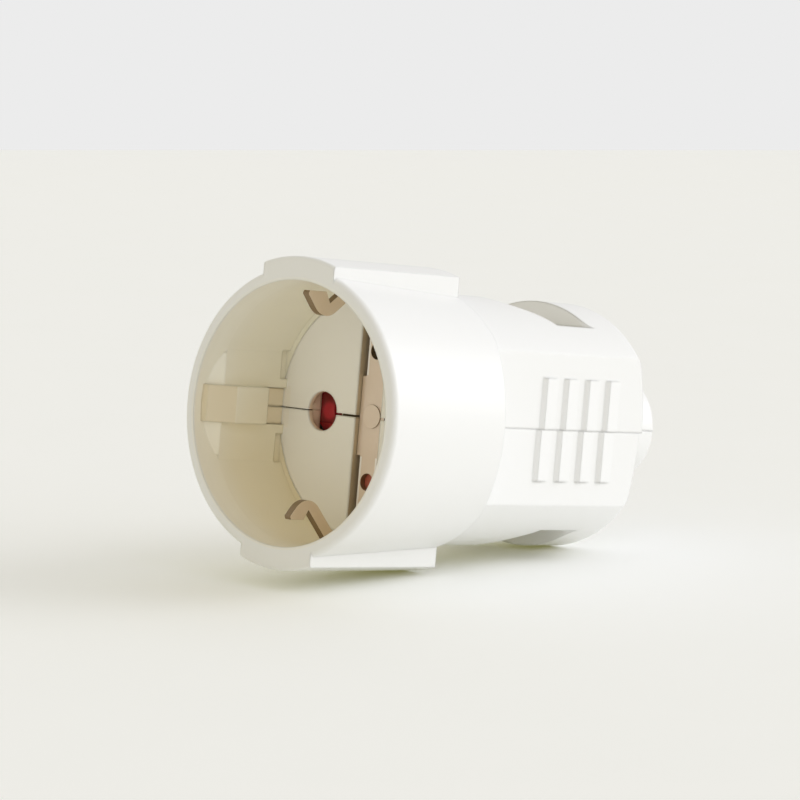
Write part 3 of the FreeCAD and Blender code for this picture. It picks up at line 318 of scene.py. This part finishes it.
MATERIALS = {
    "sleeve_white": moulded_white("sleeve_white", CAVITY_WALL_PAINTED_SHADE, inner_radius=20.0 * MM, inner_end=17.6 * MM,
                                  edge_round=0.4 * MM, tints=SLEEVE_PAINTED_SHADE),
    "shell_white": moulded_white("shell_white", CAVITY_FLOOR_PAINTED_SHADE, inner_radius=18.9 * MM, inner_end=20.3 * MM,
                                 edge_round=0.6 * MM, tints=SHELL_PAINTED_SHADE),
    "shutter_red": shutter_red("shutter_red"),
    "spring_steel": rolled_metal("spring_steel", rgb(196, 197, 200), rgb(150, 151, 154),
                                 stretch=(1, 1, 12), least_roughness=0.22),
    "earth_metal": plated_strip("earth_metal"),
    "brass": rolled_metal("brass", rgb(222, 194, 130), rgb(190, 156, 92),
                          stretch=(8, 1, 1), least_roughness=0.2),
    "screw_steel": rolled_metal("screw_steel", rgb(205, 206, 208), rgb(166, 167, 170),
                                stretch=(3, 3, 1), least_roughness=0.26),
    "clamp_grey": moulded_plain("clamp_grey", rgb(168, 168, 166), rgb(186, 186, 183)),
}
for subpart in frame["record"]["subparts"]:
    thing = frame["nodes"][subpart["node"]]
    thing.data.materials.clear()
    thing.data.materials.append(MATERIALS[subpart["material_slot"]])


def make_spring():
    """The shutter's return spring, held at its upper end, as a copy of its mesh attached to the housing."""
    node = frame["nodes"]["shutter_spring"]
    spring = bpy.data.objects.new("return_spring", node.data.copy())
    bpy.context.collection.objects.link(spring)
    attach(spring, "housing")
    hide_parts("shutter_spring")
    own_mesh(spring)


make_spring()


# The part lies nose up on its lower tab and its shoulder, so the floor is tilted under it. The floor is also
# turned, so that its far edge lies level in the picture and the backdrop starts there.
TAB_EDGE = Vector((27.3, 0.0, -23.1)) * MM
SHOULDER = Vector((60.9, 0.0, -19.3)) * MM
FLOOR_TILT = math.atan2(SHOULDER.z - TAB_EDGE.z, SHOULDER.x - TAB_EDGE.x)
FLOOR_TURN = math.radians(51.7)
FLOOR_REACH = 6.0
FLOOR_END = 1.355

# A faint glow of the floor lightens the shadow under the part, to match the photograph's.
FLOOR_GLOW = (1.0, 0.96, 0.2, 1.0)
FLOOR_GLOW_STRENGTH = 0.06
FLOOR_GRAIN = rgb(247, 248, 252), rgb(249, 250, 254)


def make_floor():
    mesh = bpy.data.meshes.new("floor")
    corners = [
        (-FLOOR_REACH, -FLOOR_REACH, 0.0),
        (FLOOR_END, -FLOOR_REACH, 0.0),
        (FLOOR_END, FLOOR_REACH, 0.0),
        (-FLOOR_REACH, FLOOR_REACH, 0.0),
    ]
    mesh.from_pydata(corners, [], [range(len(corners))])
    shader = Shader("floor_paper", Roughness=0.9, Specular_IOR_Level=0.1,
                    Emission_Color=FLOOR_GLOW, Emission_Strength=FLOOR_GLOW_STRENGTH)
    shader.colour(shader.mix(shader.noise(waves=40, detail=3.0), *FLOOR_GRAIN))
    mesh.materials.append(shader.material)
    floor = bpy.data.objects.new("floor", mesh)
    bpy.context.collection.objects.link(floor)
    tilt = Matrix.Rotation(-FLOOR_TILT, 4, "Y")
    turn = Matrix.Rotation(FLOOR_TURN, 4, "Z")
    floor.matrix_world = Matrix.Translation(TAB_EDGE) @ tilt @ turn


make_floor()


# Soft studio light: a surround that is bright above and at the picture's right and warmer and dimmer at its
# left, and two broad suns from the right, one high and one low. The camera and reflections see a plain pale
# backdrop.
BRIGHT_SIDE = Vector((0.74, -0.56, 0.36)).normalized()
SURROUND_FADE = (-0.6, 0.7)
SURROUND_DIM = (0.57, 0.52, 0.37, 1.0)
SURROUND_BRIGHT = (0.84, 0.85, 0.9, 1.0)
BACKDROP = rgb(236, 236, 236)


def make_world():
    world = bpy.data.worlds.new("studio")
    world.use_nodes = True
    tree = Nodes(world.node_tree)
    facing = tree.nodes.new("ShaderNodeVectorMath")
    facing.operation = "DOT_PRODUCT"
    tree.put(facing.inputs[0], tree.nodes.new("ShaderNodeTexCoord").outputs["Generated"])
    tree.put(facing.inputs[1], BRIGHT_SIDE)
    brightness = tree.smooth(facing.outputs["Value"], *SURROUND_FADE)
    surround = tree.mix(brightness, SURROUND_DIM, SURROUND_BRIGHT)
    ray = tree.nodes.new("ShaderNodeLightPath").outputs
    seen = tree.math("MAXIMUM", ray["Is Camera Ray"], ray["Is Glossy Ray"])
    tree.put(tree.nodes["Background"].inputs["Color"], tree.mix(seen, surround, BACKDROP))
    bpy.context.scene.world = world


def make_sun(name, towards, strength, spread_degrees):
    light = bpy.data.lights.new(name, "SUN")
    light.energy = strength
    light.angle = math.radians(spread_degrees)
    sun = bpy.data.objects.new(name, light)
    bpy.context.collection.objects.link(sun)
    sun.rotation_euler = Vector(towards).to_track_quat("Z", "Y").to_euler()


make_world()
make_sun("key_light", towards=(0.66, -0.62, 0.46), strength=0.85, spread_degrees=40)
make_sun("low_light", towards=(0.3, -0.95, 0.06), strength=0.5, spread_degrees=30)


# The photograph's camera, as fitted to the round mouth, the pin holes' spacing and the cavity's depth.
AZIMUTH = math.radians(-47.477)
ELEVATION = math.radians(1.989)
ROLL = math.radians(4.812)
CAMERA_DISTANCE = 513.954 * MM
CAMERA_RIGHT = 16.58 * MM
CAMERA_UP = 1.93 * MM
FOCAL_PIXELS = 3510.86
PICTURE_PIXELS = 800
SENSOR_WIDTH = 36.0
NEAR_LIMIT = 10 * MM


def make_camera():
    level = Vector((math.cos(AZIMUTH), math.sin(AZIMUTH), 0.0))
    ahead = Vector((-math.sin(AZIMUTH), math.cos(AZIMUTH), 0.0))
    back = math.sin(ELEVATION) * Vector((0.0, 0.0, 1.0)) - math.cos(ELEVATION) * ahead
    upright = back.cross(level)
    right = math.cos(ROLL) * level + math.sin(ROLL) * upright
    up = math.cos(ROLL) * upright - math.sin(ROLL) * level
    lens = bpy.data.cameras.new("camera")
    lens.sensor_width = SENSOR_WIDTH
    lens.lens = SENSOR_WIDTH * FOCAL_PIXELS / PICTURE_PIXELS
    lens.clip_start = NEAR_LIMIT
    camera = bpy.data.objects.new("camera", lens)
    bpy.context.collection.objects.link(camera)
    place = CAMERA_RIGHT * right + CAMERA_UP * up + CAMERA_DISTANCE * back
    turn = Matrix((right, up, back)).transposed().to_4x4()
    camera.matrix_world = Matrix.Translation(place) @ turn
    bpy.context.scene.camera = camera


make_camera()
bpy.context.scene.view_settings.view_transform = "Standard"
